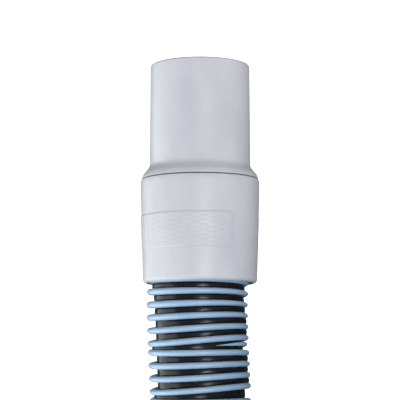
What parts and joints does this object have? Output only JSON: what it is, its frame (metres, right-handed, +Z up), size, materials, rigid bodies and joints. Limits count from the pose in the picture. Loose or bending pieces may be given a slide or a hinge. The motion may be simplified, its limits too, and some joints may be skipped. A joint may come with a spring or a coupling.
{
  "type": "vacuum hose",
  "caption": "Spiral-wound pool vacuum hose with a swivel cuff on one end and a fixed cuff on the other, stored as a round coil held by ties.",
  "frame": {"origin": "on the ground under the middle of the swivel cuff, which lies on its widest ring", "axes": "+Y along the swivel cuff's axis and out of its mouth, +Z up, +X towards the side that the coil lies on"},
  "size_m": [0.5982, 0.6992, 0.1483],
  "materials": {
    "cuff_plastic": "moulded, satin, light cool grey",
    "bearing_plastic": "natural white, turned",
    "gland_plastic": "moulded, matte, black",
    "seal_rubber": "smooth, lightly greased",
    "hose_web": "smooth extruded, soft sheen, black",
    "hose_bead": "smooth extruded, satin, light blue",
    "tie_fabric": "woven hook-and-loop tape, black"
  },
  "bodies": {
    "hose": {"collar_shell": "cuff_plastic", "bearing_washer": "bearing_plastic", "thrust_washer": "bearing_plastic", "hose_gland": "gland_plastic", "hose_web_end": "hose_web", "hose_bead_end": "hose_bead", "hose_run": "hose_web", "hose_coil": "hose_web", "hose_top_turn": "hose_web", "fixed_cuff": "cuff_plastic", "far_web_end": "hose_web", "far_bead_end": "hose_bead", "coil_tie_1": "tie_fabric", "coil_tie_2": "tie_fabric", "coil_tie_3": "tie_fabric"},
    "spigot": {"swivel_spigot": "cuff_plastic", "spigot_seal_ring": "seal_rubber", "retaining_ring": "bearing_plastic"}
  },
  "joints": [
    {"name": "swivel", "type": "hinge", "parent": "hose", "child": "spigot", "pos_m": [0, 0, 0.0272], "axis": [0, 1, 0], "continuous": true}
  ]
}
